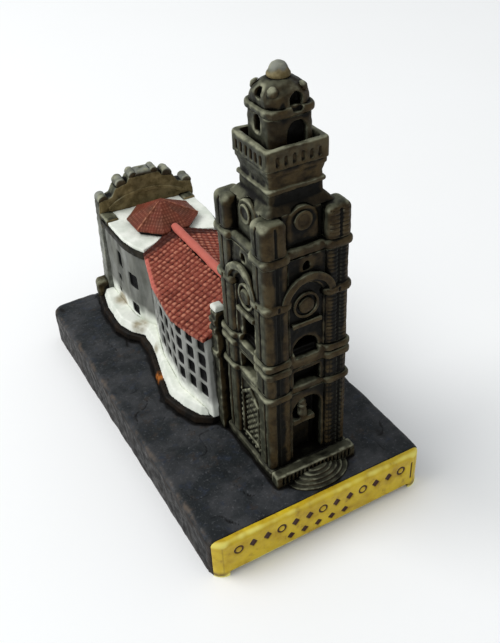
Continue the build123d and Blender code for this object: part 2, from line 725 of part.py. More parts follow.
def facade_returns():
    """Short piers that carry the gable front's ends forward over the church's sides."""
    shapes = []
    for side in (-1, 1):
        x0 = CHURCH_X + side * (NAVE_RX + 0.4)
        x1 = CHURCH_X + side * 9.2
        pier = block(min(x0, x1), max(x0, x1), RETURN_Y, NAVE_BACK_Y, Z_CORNICE, Z_LEDGE_TOP + 0.4)
        pier = fillet(pier.faces().sort_by(Axis.Z)[-1].edges(), 0.3)
        shapes.append(pier - behind_facade())
    return group(shapes)


def facade_moulding():
    """The curved band on the inner side of the crest."""
    reach, low, high, thick, proud = 10.4, 36.2, 39.4, 1.1, 0.4
    under = ThreePointArc((-reach, 0, low), (0, 0, high), (reach, 0, low))
    over = ThreePointArc((reach, 0, low + thick), (0, 0, high + thick), (-reach, 0, low + thick))
    ends = Line(under @ 1, over @ 0) + Line(over @ 1, under @ 0)
    band = turned_gable(extrude(make_face(under + over + ends), proud, dir=(0, -1, 0)))
    return cut_all(band - prism(nave_face(0.7), 0, Z_LEDGE_TOP), facade_returns().solids())


def facade_scrolls():
    """Rolled volutes that run through the thickness of the crest, three to each side."""
    places = [(11.4, 1.3, 1.4), (6.2, 4.7, 1.4), (2.8, 6.3, 1.1)]
    shapes = []
    for dx, rise, radius in places:
        for side in (-1, 1):
            roll = Pos(side * dx, FACADE_THICK / 2, Z_SHOULDER + rise) * Rot(90, 0, 0)
            roll = turned_gable(roll * Cylinder(radius, FACADE_THICK))
            shapes.append(roll - facade_wall() - facade_crown())
    return group(shapes)


def facade_crown():
    """The rounded block at the top of the crest."""
    half, z0, z1 = 2.2, Z_SHOULDER + CREST[-1][1], Z_SHOULDER + 7.2
    crown = Pos(0, FACADE_THICK / 2, (z0 + z1) / 2) * Box(2 * half, FACADE_THICK, z1 - z0)
    return turned_gable(fillet(crown.faces().sort_by(Axis.Z)[-1].edges(), 0.9))


def facade_buttresses():
    """Low rounded blocks against the feet of the gable front."""
    shapes = []
    for side in (-1, 1):
        foot = Pos(side * (FACADE_HALF_FOOT + 0.6), FACADE_THICK / 2, GROUND + 3.0)
        foot = foot * Box(4.2, FACADE_THICK, 6.0)
        foot = fillet(foot.edges().filter_by(Axis.Z), 1.2)
        foot = fillet(foot.faces().sort_by(Axis.Z)[-1].edges(), 1.1)
        shapes.append(turned_gable(foot) - facade_wall())
    return group(shapes)


def pieces():
    """Every piece by its node's name."""
    return {
        "base_slab": base_slab(),
        "front_plaque": front_plaque(),
        "tower_plinth": tower_plinth(),
        "tower_door_storey": door_storey(),
        "tower_door_piers": door_piers(),
        "tower_door_leaf": door_leaf(),
        "tower_niche_statue": niche_statue(),
        "tower_side_gablets": side_gablets(),
        "tower_ledge_course": ledge_course(),
        "tower_attic_storey": attic_storey(),
        "tower_attic_piers": attic_piers(),
        "tower_double_course": double_course(),
        "tower_window_storey": window_storey(),
        "tower_window_piers": window_piers(),
        "tower_arch_hoods": arch_hoods(),
        "tower_shield_reliefs": shield_reliefs(),
        "tower_bell_course": bell_course(),
        "tower_clock_storey": clock_storey(),
        "tower_clock_piers": clock_piers(),
        "tower_clock_dials": clock_dials(),
        "tower_neck": neck(),
        "gallery_cornice": gallery_cornice(),
        "gallery_parapet": gallery_parapet(),
        "lantern": lantern(),
        "lantern_cornice": lantern_cornice(),
        "dome": dome(),
        "dome_urns": dome_urns(),
        "finial": finial(),
        "entrance_landing": entrance_landing(),
        "entrance_steps": entrance_steps(),
        "link_wall": link_wall(),
        "link_caps": link_caps(),
        "ground_curb": ground_curb(),
        "plaster_skirt": plaster_skirt(),
        "house_walls": house_walls(),
        "house_roof": house_roof(),
        "house_ridge_cap": ridge_cap(),
        "nave_walls": nave_walls(),
        "nave_cornice": nave_cornice(),
        "nave_terrace": nave_terrace(),
        "nave_roof_drum": roof_drum(),
        "nave_hip_roof": hip_roof(),
        "facade_wall": facade_wall(),
        "facade_returns": facade_returns(),
        "facade_moulding": facade_moulding(),
        "facade_scrolls": facade_scrolls(),
        "facade_crown": facade_crown(),
        "facade_buttresses": facade_buttresses(),
    }


os.makedirs("parts", exist_ok=True)
for name, shape in pieces().items():
    export_step(shape, f"parts/{name}.step")
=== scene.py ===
import json
import math

import bpy
import numpy as np
from mathutils import Matrix, Vector
from mathutils.bvhtree import BVHTree


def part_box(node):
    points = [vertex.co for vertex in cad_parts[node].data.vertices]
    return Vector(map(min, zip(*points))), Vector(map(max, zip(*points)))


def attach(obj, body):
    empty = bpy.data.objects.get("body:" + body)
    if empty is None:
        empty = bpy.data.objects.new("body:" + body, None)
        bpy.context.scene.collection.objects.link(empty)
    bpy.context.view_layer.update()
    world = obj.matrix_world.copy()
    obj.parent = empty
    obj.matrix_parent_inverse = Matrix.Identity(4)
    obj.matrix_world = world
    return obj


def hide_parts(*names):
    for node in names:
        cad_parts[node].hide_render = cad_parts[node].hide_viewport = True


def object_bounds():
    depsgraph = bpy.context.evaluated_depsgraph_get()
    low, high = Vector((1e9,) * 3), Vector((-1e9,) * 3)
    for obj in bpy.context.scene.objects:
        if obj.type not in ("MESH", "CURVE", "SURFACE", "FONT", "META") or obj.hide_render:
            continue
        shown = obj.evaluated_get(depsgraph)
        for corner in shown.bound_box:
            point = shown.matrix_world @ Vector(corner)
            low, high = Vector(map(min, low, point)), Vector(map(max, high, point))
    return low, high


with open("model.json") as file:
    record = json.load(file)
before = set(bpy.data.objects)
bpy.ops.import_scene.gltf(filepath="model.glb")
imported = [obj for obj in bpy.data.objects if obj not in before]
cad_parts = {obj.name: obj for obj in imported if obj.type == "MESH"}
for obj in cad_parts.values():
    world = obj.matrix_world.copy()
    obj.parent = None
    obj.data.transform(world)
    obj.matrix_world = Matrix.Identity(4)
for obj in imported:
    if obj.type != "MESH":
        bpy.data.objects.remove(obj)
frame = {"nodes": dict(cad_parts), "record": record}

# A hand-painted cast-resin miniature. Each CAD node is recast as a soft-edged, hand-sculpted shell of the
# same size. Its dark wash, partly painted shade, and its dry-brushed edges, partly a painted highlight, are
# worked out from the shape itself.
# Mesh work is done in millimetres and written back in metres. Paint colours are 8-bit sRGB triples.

CAD_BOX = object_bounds()
MM = 1000.0
SEED = 20
LATTICE_CELLS = 32
LATTICE = np.random.default_rng(SEED).random((LATTICE_CELLS,) * 3)


# ---- fields ------------------------------------------------------------------------------------
def blended(grid, cell, share):
    """A grid's values part of the way from each cell to the next, blended over the eight cells around."""
    total = np.zeros(len(cell))
    for corner in range(8):
        step = np.array([corner & 1, corner >> 1 & 1, corner >> 2 & 1])
        weight = np.prod(np.where(step, share, 1 - share), axis=1)
        i, j, k = ((cell + step) % grid.shape).T
        total += weight * grid[i, j, k]
    return total


def noise(co, scale, shift=0.0):
    """Smooth value noise from -1 to 1 at points co, with bumps about scale millimetres across."""
    p = co / scale + shift
    cell = np.floor(p).astype(int)
    t = p - cell
    return blended(LATTICE, cell, t * t * (3 - 2 * t)) * 2 - 1


def smoothstep(x, low, high):
    """0 up to low and 1 from high on, with a smooth rise between; it falls where high is below low."""
    t = np.clip((x - low) / (high - low), 0, 1)
    return t * t * (3 - 2 * t)


def barrel(phase):
    """A row of half-round ridges, one to each unit of phase: 0 in the valleys, 1 on the crests."""
    t = (phase % 1.0) * 2 - 1
    return np.sqrt(np.clip(1 - t * t, 0, 1))


def groove(distance, width):
    """A soft-bottomed groove of the given width: 1 on its line, 0 away from it."""
    return np.exp(-((distance / width) ** 2))


# ---- mesh helpers ------------------------------------------------------------------------------
def node_mm(name):
    """A CAD node's vertices in millimetres and its triangles."""
    mesh = frame["nodes"][name].data
    mesh.calc_loop_triangles()
    co = np.empty(len(mesh.vertices) * 3)
    mesh.vertices.foreach_get("co", co)
    tris = np.empty(len(mesh.loop_triangles) * 3, dtype=np.int32)
    mesh.loop_triangles.foreach_get("vertices", tris)
    return co.reshape(-1, 3) * MM, tris.reshape(-1, 3)


def box_mm(name):
    low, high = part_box(name)
    return np.array(low) * MM, np.array(high) * MM


def remeshed(name, voxel):
    """The node as an even grid of quads."""
    co, tris = node_mm(name)
    mesh = bpy.data.meshes.new(name + "_mm")
    mesh.from_pydata(co.tolist(), [], tris.tolist())
    obj = bpy.data.objects.new(name + "_mm", mesh)
    bpy.context.scene.collection.objects.link(obj)
    modifier = obj.modifiers.new("even", "REMESH")
    modifier.mode = "VOXEL"
    modifier.voxel_size = voxel
    modifier.adaptivity = 0
    even = obj.evaluated_get(bpy.context.evaluated_depsgraph_get()).to_mesh()
    points = np.empty(len(even.vertices) * 3)
    even.vertices.foreach_get("co", points)
    quads = np.empty(len(even.loops), dtype=np.int64)
    even.loops.foreach_get("vertex_index", quads)
    sizes = np.empty(len(even.polygons), dtype=np.int32)
    even.polygons.foreach_get("loop_total", sizes)
    if not (sizes == 4).all():
        raise ValueError(f"{name} was not remeshed to quads")
    obj.to_mesh_clear()
    bpy.data.objects.remove(obj)
    bpy.data.meshes.remove(mesh)
    return points.reshape(-1, 3), quads.reshape(-1, 4)


class Shell:
    """A quad shell with its vertex normals and neighbours."""

    inward, outward = 0.6, 0.45
    blur = 0.7

    def __init__(self, co, quads):
        self.co = co
        self.quads = quads
        pairs = np.sort(np.concatenate([quads[:, [i, (i + 1) % 4]] for i in range(4)]), axis=1)
        self.edges = np.unique(pairs, axis=0)
        self.degree = np.bincount(self.edges.ravel(), minlength=len(co)).astype(float)
        self.normals()

    def spread(self, values):
        """Each vertex's mean over its neighbours."""
        a, b = self.edges.T
        n = len(self.co)
        columns = values if values.ndim == 2 else values[:, None]
        out = [np.bincount(a, c[b], n) + np.bincount(b, c[a], n) for c in columns.T]
        out = np.stack(out, axis=1) / self.degree[:, None]
        return out if values.ndim == 2 else out[:, 0]

    def smooth(self, rounds):
        """Rounds the edges over; the second, outward step of each round keeps the shell from shrinking."""
        for _ in range(rounds):
            self.co = self.co + self.inward * (self.spread(self.co) - self.co)
            self.co = self.co - self.outward * (self.spread(self.co) - self.co)
        self.normals()

    def normals(self):
        a, b, c, d = (self.co[self.quads[:, i]] for i in range(4))
        face = np.cross(c - a, d - b)
        total = np.zeros_like(self.co)
        for i in range(4):
            for axis in range(3):
                total[:, axis] += np.bincount(self.quads[:, i], face[:, axis], len(self.co))
        self.n = total / np.maximum(np.linalg.norm(total, axis=1), 1e-9)[:, None]

    def push(self, amount):
        """Moves every vertex along its normal, in millimetres."""
        self.co = self.co + self.n * amount[:, None]
        self.normals()

    def hollowness(self, rounds):
        """How far each vertex sits below its smoothed surroundings, in millimetres: positive in creases."""
        blurred = self.co
        for _ in range(rounds):
            blurred = blurred + self.blur * (self.spread(blurred) - blurred)
        return np.einsum("ij,ij->i", blurred - self.co, self.n)


# ---- how deep in a recess each point is, over the whole model ----------------------------------
class Solidity:
    """A blurred map of how much solid surrounds each point: 0.5 on flats, more in recesses, less on edges."""

    cell = 0.4
    margin = 5.0
    nudge = 0.0137  # keeps the upright rays off the model's own edges
    past_hit = 1e-3

    def __init__(self, radii):
        low, high = (np.array(v) * MM for v in CAD_BOX)
        self.low = low - self.margin
        self.shape = np.ceil((high - low + 2 * self.margin) / self.cell).astype(int)
        filled = np.zeros(self.shape, dtype=bool)
        for name in sorted(frame["nodes"]):
            self.fill(filled, name)
        self.maps = {key: self.blurred(filled.astype(np.float32), radius) for key, radius in radii.items()}

    def fill(self, filled, name):
        """Marks the cells inside a node, one upright ray to each column of cells."""
        co, tris = node_mm(name)
        tree = BVHTree.FromPolygons(co.tolist(), tris.tolist())
        first = np.maximum(((co.min(0) - self.low) / self.cell).astype(int) - 1, 0)
        last = ((co.max(0) - self.low) / self.cell).astype(int) + 2
        start_z = co[:, 2].min() - 1.0
        for i in range(first[0], last[0]):
            x = self.low[0] + (i + 0.5) * self.cell + self.nudge
            for j in range(first[1], last[1]):
                y = self.low[1] + (j + 0.5) * self.cell + self.nudge
                crossings = self.crossings(tree, x, y, start_z)
                for bottom, top in zip(crossings[::2], crossings[1::2]):
                    k0 = int(round((bottom - self.low[2]) / self.cell))
                    k1 = int(round((top - self.low[2]) / self.cell))
                    filled[i, j, k0:k1] = True

    def crossings(self, tree, x, y, z):
        """The heights at which an upright ray enters and leaves the node."""
        heights = []
        while True:
            hit = tree.ray_cast(Vector((x, y, z)), Vector((0, 0, 1)))[0]
            if hit is None:
                return heights
            heights.append(hit.z)
            z = hit.z + self.past_hit

    def blurred(self, grid, radius):
        """Three box blurs along each axis, which together are close to a Gaussian."""
        half = max(1, int(round(radius / self.cell)))
        width = 2 * half + 1
        for axis in range(3):
            for _ in range(3):
                pad = [(0, 0)] * 3
                pad[axis] = (half + 1, half)
                total = np.cumsum(np.pad(grid, pad, mode="edge"), axis=axis, dtype=np.float64)
                size = grid.shape[axis]
                ahead = np.take(total, range(width, width + size), axis=axis)
                behind = np.take(total, range(0, size), axis=axis)
                grid = ((ahead - behind) / width).astype(np.float32)
        return grid

    def at(self, key, co):
        grid = self.maps[key]
        p = (co - self.low) / self.cell - 0.5
        cell = np.clip(np.floor(p).astype(int), 0, np.array(grid.shape) - 2)
        return blended(grid, cell, np.clip(p - cell, 0, 1))


SOLIDITY = Solidity({"near": 0.45, "wide": 1.3})


# ---- material graphs ---------------------------------------------------------------------------
class Graph:
    """Short calls for building a node material."""

    def __init__(self, name):
        self.material = bpy.data.materials.new(name)
        self.material.use_nodes = True
        self.tree = self.material.node_tree
        self.tree.nodes.clear()
        self.place = self.node("ShaderNodeTexCoord").outputs["Object"]

    def node(self, kind, **settings):
        made = self.tree.nodes.new(kind)
        for key, value in settings.items():
            setattr(made, key, value)
        return made

    def wire(self, socket, value):
        if isinstance(value, bpy.types.NodeSocket):
            self.tree.links.new(value, socket)
        else:
            socket.default_value = value

    def math(self, operation, a, b):
        made = self.node("ShaderNodeMath", operation=operation)
        self.wire(made.inputs[0], a)
        self.wire(made.inputs[1], b)
        return made.outputs[0]

    def times(self, a, b):
        return self.math("MULTIPLY", a, b)

    def remap(self, value, low, high, to_low=0.0, to_high=1.0):
        made = self.node("ShaderNodeMapRange", interpolation_type="SMOOTHSTEP")
        for index, entry in enumerate((value, low, high, to_low, to_high)):
            self.wire(made.inputs[index], entry)
        return made.outputs[0]

    def noise(self, size_mm, detail=3.0, rough=0.55, stretch=(1, 1, 1)):
        """Noise with features about size_mm across."""
        mapping = self.node("ShaderNodeMapping")
        self.wire(mapping.inputs["Vector"], self.place)
        mapping.inputs["Scale"].default_value = [MM * s for s in stretch]
        made = self.node("ShaderNodeTexNoise")
        self.wire(made.inputs["Vector"], mapping.outputs[0])
        made.inputs["Scale"].default_value = 0.5 / size_mm
        made.inputs["Detail"].default_value = detail
        made.inputs["Roughness"].default_value = rough
        return made.outputs[0]

    def patches(self, size_mm, low, high, least=0.0, most=1.0, **settings):
        """Patches about size_mm across: least where the noise is under low, most where it is over high."""
        return self.remap(self.noise(size_mm, **settings), low, high, least, most)

    def mask(self, name, low=None, high=None, least=0.0, most=1.0):
        """A piece's mask, as it is or remapped from low and high to least and most."""
        value = self.node("ShaderNodeAttribute", attribute_name=name).outputs["Fac"]
        return value if low is None else self.remap(value, low, high, least, most)

    def speckled(self, name, size_mm, amount):
        """A mask with its edge broken up by noise."""
        speckle = self.math("SUBTRACT", self.noise(size_mm, 3), 0.5)
        return self.math("ADD", self.mask(name), self.times(speckle, amount))

    def mix(self, share, a, b):
        made = self.node("ShaderNodeMix", data_type="RGBA", clamp_factor=True)
        self.wire(made.inputs["Factor"], share)
        for socket, value in ((made.inputs[6], a), (made.inputs[7], b)):
            self.wire(socket, value if isinstance(value, bpy.types.NodeSocket) else colour(value))
        return made.outputs[2]

    def satin(self, low, high):
        """Roughness that wanders between two values."""
        return self.patches(0.9, 0.3, 0.7, low, high, detail=2)

    def finish(self, paint, rough, height, depth_mm, sheen=0.12):
        shader = self.node("ShaderNodeBsdfPrincipled")
        self.wire(shader.inputs["Base Color"], paint)
        self.wire(shader.inputs["Roughness"], rough)
        shader.inputs["Specular IOR Level"].default_value = sheen
        bump = self.node("ShaderNodeBump")
        bump.inputs["Strength"].default_value = 1.0
        bump.inputs["Distance"].default_value = depth_mm / MM
        self.wire(bump.inputs["Height"], height)
        self.wire(shader.inputs["Normal"], bump.outputs[0])
        out = self.node("ShaderNodeOutputMaterial")
        self.tree.links.new(shader.outputs[0], out.inputs[0])
        return self.material


def colour(rgb):
    """An 8-bit sRGB triple as linear RGBA, by the sRGB standard's curve."""
    share = [v / 255 for v in rgb]
    linear = [v / 12.92 if v <= 0.04045 else ((v + 0.055) / 1.055) ** 2.4 for v in share]
    return (*linear, 1.0)


def recess_wash_and_shade(g, paint, dark):
    """A dark wash in the recesses, small and large: partly the real paint wash, partly painted shade where a
    point is enclosed.
    """
    small = g.remap(g.speckled("near", 0.5, 0.10), 0.50, 0.62)
    large = g.remap(g.speckled("wide", 3.0, 0.14), 0.53, 0.66)
    paint = g.mix(g.math("MAXIMUM", small, large), paint, dark)
    return g.mix(g.mask("crease", 0.01, 0.06, most=0.85), paint, dark)


def dry_brush_and_highlight(g, paint, pale, share):
    """Pale paint dragged over the edges, kept to those that face up and to the left, towards the lamp: partly
    dry-brushing, partly a painted highlight.
    """
    edges = g.math("MAXIMUM", g.mask("near", 0.45, 0.32), g.mask("crease", -0.015, -0.06))
    patchy = g.patches(0.9, 0.36, 0.62, least=0.15, detail=4)
    lit = g.mask("lit", 0.0, 1.0, least=0.12)
    return g.mix(g.times(g.times(edges, patchy), g.times(lit, share)), paint, pale)


# A paint reads a piece's masks. Every mask that it doesn't name leaves it as it is:
#   near, wide   how enclosed a point is at a small and at a large scale
#   crease       how far it sits below its surroundings, in millimetres
#   lit, front   whether it faces up and left, where the painted highlight goes, and whether it faces the tower end, where the painted shade goes
#   pit, relief  how deep it is in an opening or an engraving, and how high on a tile or a block
#   tone, shade, warm   the paint's second colour, its darker coat (painted shade on the stone and the tiles) and its stain
def stone_paint():
    """Grey-green on the sides and a warmer brown on the front faces, painted shade standing in for their
    warm, dim light, with a painted highlight on faces up and left and near-black in the recesses, partly
    painted shade; tone turns it to limewash.
    """
    grey_green, deep_green = (52, 54, 44), (33, 34, 26)
    # the brown pair is painted shade for the faces towards the tower end
    brown, deep_brown = (66, 54, 33), (42, 32, 18)
    grime, painted_highlight, shadow, wash_and_shade, black = (26, 22, 14), (114, 114, 93), (15, 13, 8), (9, 8, 5), (6, 5, 3)
    limewash_and_highlight, old_limewash_and_highlight, brushed_highlight = (140, 142, 134), (98, 100, 92), (152, 152, 128)
    sand, deep_sand = (138, 123, 86), (94, 82, 52)
    g = Graph("stone_paint")
    mottle = g.patches(1.5, 0.36, 0.66, detail=4, rough=0.65)
    side = g.mix(mottle, grey_green, deep_green)
    front = g.mix(mottle, brown, deep_brown)
    # painted shade: the faces towards the tower end take the warmer brown of their warm, dim light
    coat = g.mix(g.speckled("front", 2.0, 0.5), side, front)
    coat = g.mix(g.patches(0.45, 0.52, 0.75, most=0.45, rough=0.6), coat, grime)
    # a painted highlight on the faces up and to the left
    lit = g.times(g.mask("lit", 0.45, 1.0), g.patches(1.3, 0.34, 0.62, 0.1, 0.62, detail=4))
    coat = g.mix(lit, coat, painted_highlight)
    coat = g.mix(g.mask("shade"), coat, shadow)
    # wash and painted shade in the recesses
    paint = recess_wash_and_shade(g, coat, wash_and_shade)
    # limewash, which on the gable's crest is a painted highlight on the faces up and to the left
    paint = g.mix(g.mask("tone"), paint, g.mix(mottle, limewash_and_highlight, old_limewash_and_highlight))
    # dry-brushing and a painted highlight on the edges that face up and to the left
    paint = dry_brush_and_highlight(g, paint, brushed_highlight, 0.8)
    paint = g.mix(g.mask("warm"), paint, g.mix(mottle, sand, deep_sand))
    # near-black deep in the openings: partly their black paint, partly painted shade
    paint = g.mix(g.mask("pit", 0.7, 1.3), paint, black)
    return g.finish(paint, g.satin(0.40, 0.62), g.noise(0.22), 0.05, sheen=0.08)


def plaster_paint():
    """Grey plaster on upright walls, near-white on the ledges and the apron, black inside the windows."""
    grey, deep_grey = (146, 147, 142), (108, 110, 104)
    dark_grey, darkest_grey = (100, 101, 92), (62, 63, 57)
    white, off_white = (238, 240, 230), (214, 219, 207)
    corner_wash_and_shade, stain, black = (66, 66, 60), (136, 118, 78), (9, 9, 10)
    upright_streaks = (1, 1, 0.35)
    g = Graph("plaster_paint")
    mottle = g.patches(2.2, 0.35, 0.7, detail=4, rough=0.6, stretch=upright_streaks)
    wall = g.mix(mottle, grey, deep_grey)
    # a darker grey, in upright streaks on the nave walls
    wall = g.mix(g.mask("shade"), wall, g.mix(mottle, dark_grey, darkest_grey))
    # wash and painted shade in the corners of the grey walls
    corner = g.times(g.remap(g.speckled("near", 0.7, 0.14), 0.54, 0.70), g.mask("tone", 0.5, 0.0))
    wall = g.mix(corner, wall, corner_wash_and_shade)
    coat = g.mix(g.mask("tone"), wall, g.mix(mottle, white, off_white))
    coat = g.mix(g.times(g.mask("warm"), g.patches(1.1, 0.3, 0.6, least=0.4)), coat, stain)
    paint = g.mix(g.mask("pit", 0.22, 0.42), coat, black)
    return g.finish(paint, g.satin(0.5, 0.7), g.noise(0.3), 0.05)


def tile_paint():
    """Brick red with paler crests; tone is a smooth salmon, shade a painted dark-red shadow, warm a duller
    brown.
    """
    red, deep_red, pale_crest, red_joint = (128, 58, 44), (104, 42, 30), (180, 116, 92), (44, 14, 8)
    brown, deep_brown, brown_crest, brown_joint = (98, 58, 40), (70, 42, 30), (170, 116, 88), (46, 24, 16)
    salmon, deep_salmon = (198, 112, 98), (172, 86, 74)
    shadow, wash_and_shade = (50, 18, 10), (36, 14, 8)
    g = Graph("tile_paint")
    crest = g.times(g.mask("relief", 0.62, 1.0), g.patches(0.55, 0.40, 0.62, least=0.2, detail=2))
    paint = g.mix(g.patches(1.8, 0.35, 0.7), red, deep_red)
    paint = g.mix(crest, paint, pale_crest)
    paint = g.mix(g.mask("relief", 0.55, 0.12), paint, red_joint)
    dull = g.mix(g.times(crest, 0.8), g.mix(g.noise(1.1), brown, deep_brown), brown_crest)
    dull = g.mix(g.mask("relief", 0.5, 0.1, most=0.8), dull, brown_joint)
    paint = g.mix(g.mask("warm"), paint, dull)
    paint = g.mix(g.mask("tone"), paint, g.mix(g.noise(1.2), salmon, deep_salmon))
    paint = g.mix(g.mask("shade"), paint, shadow)
    # wash and painted shade where the tiles are enclosed
    paint = g.mix(g.remap(g.speckled("near", 0.6, 0.08), 0.56, 0.70), paint, wash_and_shade)
    return g.finish(paint, g.satin(0.42, 0.62), g.noise(0.22), 0.04)


def brown_paint():
    """Dull brown; tone is the near-black of the cornice."""
    brown, deep_brown = (92, 80, 62), (64, 54, 42)
    cornice, deep_cornice = (40, 37, 27), (20, 19, 13)
    wash_and_shade = (12, 10, 7)
    g = Graph("brown_paint")
    mottle = g.patches(1.2, 0.35, 0.7, detail=4)
    coat = g.mix(mottle, brown, deep_brown)
    coat = g.mix(g.mask("tone"), coat, g.mix(mottle, cornice, deep_cornice))
    # wash and painted shade in the recesses
    return g.finish(recess_wash_and_shade(g, coat, wash_and_shade), g.satin(0.5, 0.7), g.noise(0.25), 0.05)


def slate_paint():
    """Slate on top with bluish and brown patches, brown-black down the sides."""
    dark_slate, slate = (34, 37, 39), (58, 59, 61)
    bluish, brownish, spot_black, speck_grey = (44, 50, 62), (62, 52, 44), (20, 20, 23), (92, 94, 96)
    side_brown, side_black = (44, 35, 27), (22, 18, 15)
    crack, wash_and_shade, rub = (20, 20, 22), (16, 15, 14), (96, 84, 72)
    g = Graph("slate_paint")
    coat = g.mix(g.patches(4.0, 0.38, 0.66, detail=5, rough=0.6), dark_slate, slate)
    coat = g.mix(g.patches(1.6, 0.52, 0.74, most=0.8, detail=4, rough=0.7), coat, bluish)
    coat = g.mix(g.patches(2.4, 0.56, 0.74, most=0.8, detail=4, rough=0.7), coat, brownish)
    coat = g.mix(g.patches(0.6, 0.58, 0.74, most=0.6, detail=4, rough=0.75), coat, spot_black)
    coat = g.mix(g.patches(0.35, 0.55, 0.72, most=0.5, rough=0.7), coat, speck_grey)
    paint = g.mix(g.mask("shade"), coat, g.mix(g.noise(1.4, 4), side_brown, side_black))
    paint = g.mix(g.mask("crease", 0.01, 0.05, most=0.7), paint, crack)
    # wash and painted shade around the pieces that stand on the slab
    paint = g.mix(g.mask("near", 0.53, 0.64), paint, wash_and_shade)
    rubbed = g.times(g.mask("near", 0.45, 0.33, most=0.7), g.patches(1.2, 0.4, 0.62, detail=4))
    paint = g.mix(rubbed, paint, rub)
    pits = g.math("ADD", g.noise(1.6, 5, 0.7), g.times(g.noise(0.3), 0.35))
    return g.finish(paint, g.satin(0.38, 0.62), pits, 0.16)


def yellow_paint():
    """Bright yellow with a painted highlight along its edges, a dark red line in the engraving and a darker
    brown along the foot.
    """
    yellow, deep_yellow, ochre = (206, 178, 34), (176, 144, 22), (132, 100, 20)
    foot_brown, painted_edge_highlight = (92, 66, 18), (238, 230, 122)
    dark_red, near_black = (66, 20, 12), (34, 14, 10)
    g = Graph("yellow_paint")
    coat = g.mix(g.patches(2.4, 0.35, 0.7, detail=4), yellow, deep_yellow)
    coat = g.mix(g.patches(1.2, 0.56, 0.72, most=0.5, detail=4, rough=0.7), coat, ochre)
    coat = g.mix(g.times(g.mask("shade"), g.patches(1.5, 0.3, 0.6)), coat, foot_brown)
    # a painted highlight along the plaque's edges
    paint = g.mix(g.mask("near", 0.44, 0.32), coat, painted_edge_highlight)
    paint = g.mix(g.mask("pit"), paint, g.mix(g.noise(0.8, 2), dark_red, near_black))
    return g.finish(paint, g.satin(0.36, 0.56), g.noise(0.3), 0.05, sheen=0.3)


def dark_paint():
    """The near-black kerb, with an orange-brown scuff on its left side."""
    brown_black, near_black, wash_and_shade, scuff = (34, 26, 18), (14, 13, 10), (10, 8, 7), (158, 92, 34)
    g = Graph("dark_paint")
    coat = g.mix(g.patches(1.4, 0.35, 0.7, detail=4), brown_black, near_black)
    # wash and painted shade in the recesses
    paint = recess_wash_and_shade(g, coat, wash_and_shade)
    paint = g.mix(g.times(g.mask("warm"), g.patches(0.9, 0.3, 0.5)), paint, scuff)
    return g.finish(paint, g.satin(0.5, 0.7), g.noise(0.25), 0.05)


PAINTS = {
    "stone_paint": stone_paint(),
    "plaster_paint": plaster_paint(),
    "tile_paint": tile_paint(),
    "brown_paint": brown_paint(),
    "slate_paint": slate_paint(),
    "yellow_paint": yellow_paint(),
    "dark_paint": dark_paint(),
}


# ---- sculpting of each kind of piece -----------------------------------------------------------
# A relief returns its mask, from 0 in the joints to 1 on the crests, and how far to push the skin out in mm.
def house_tiles(shell):
    """Rows of round tiles that run down the roof, square to its slanting eaves, broken into short courses."""
    row_pitch, course_pitch, depth, mid_height = 1.50, 1.32, 0.36, 0.6
    wander = 0.20
    slant = math.radians(14)
    low, high = box_mm("house_roof")
    axis_x = (low[0] + high[0]) / 2
    away = np.abs(shell.co[:, 0] - axis_x)
    along = shell.co[:, 1] * math.cos(slant) + away * math.sin(slant)
    down = away * math.cos(slant) - shell.co[:, 1] * math.sin(slant)
    row = barrel((along + wander * noise(shell.co, 3.0)) / row_pitch)
    course = barrel((down + wander * noise(shell.co, 1.5, 3.0)) / course_pitch)
    height = 0.35 * row + 0.65 * row * course + 0.15 * noise(shell.co, 0.6, 1.7)
    height = np.clip(height, 0, 1)
    top = smoothstep(shell.n[:, 2], 0.5, 0.8)
    return height, (height - mid_height) * depth * top


def hip_tiles(shell):
    """Fine tiles down each slope of the eight-sided roof; the two hips towards the house stand out most."""
    row_pitch, course_pitch, depth, mid_height = 0.72, 0.80, 0.16, 0.6
    hip_height, hip_width, weak_hip = 0.22, 0.32, 0.25
    slope_turn = math.pi / 4
    strong_hips, spread = (202.5, 337.5), 15
    low, high = box_mm("nave_hip_roof")
    centre = (low + high) / 2
    flat = shell.co[:, :2] - centre[:2]
    angle = np.arctan2(flat[:, 1], flat[:, 0])
    slope = np.round(angle / slope_turn) * slope_turn
    out = flat[:, 0] * np.cos(slope) + flat[:, 1] * np.sin(slope)
    across = -flat[:, 0] * np.sin(slope) + flat[:, 1] * np.cos(slope)
    hip = out * math.tan(slope_turn / 2) - np.abs(across)
    turn = np.degrees(angle) % 360
    strong = sum(groove(turn - place, spread) for place in strong_hips)
    on_hip = groove(hip, hip_width) * (weak_hip + (1 - weak_hip) * strong)
    tiles = 0.6 * barrel(across / row_pitch) + 0.4 * barrel(out / course_pitch)
    height = np.clip(np.maximum(tiles * 0.8, 1.1 * on_hip), 0, 1)
    top = smoothstep(shell.n[:, 2], 0.4, 0.7)
    return height, top * ((tiles - mid_height) * depth + on_hip * hip_height)


def around_tower(shell):
    """Each point's distance along its side of the tower, whether that side is the front or the back, and how
    upright its skin is."""
    low, high = box_mm("tower_plinth")
    centre = (low + high) / 2
    across = np.abs(shell.n[:, 1]) >= np.abs(shell.n[:, 0])
    along = np.where(across, shell.co[:, 0] - centre[0], shell.co[:, 1] - centre[1])
    upright = smoothstep(np.abs(shell.n[:, 2]), 0.6, 0.35)
    return along, across, upright


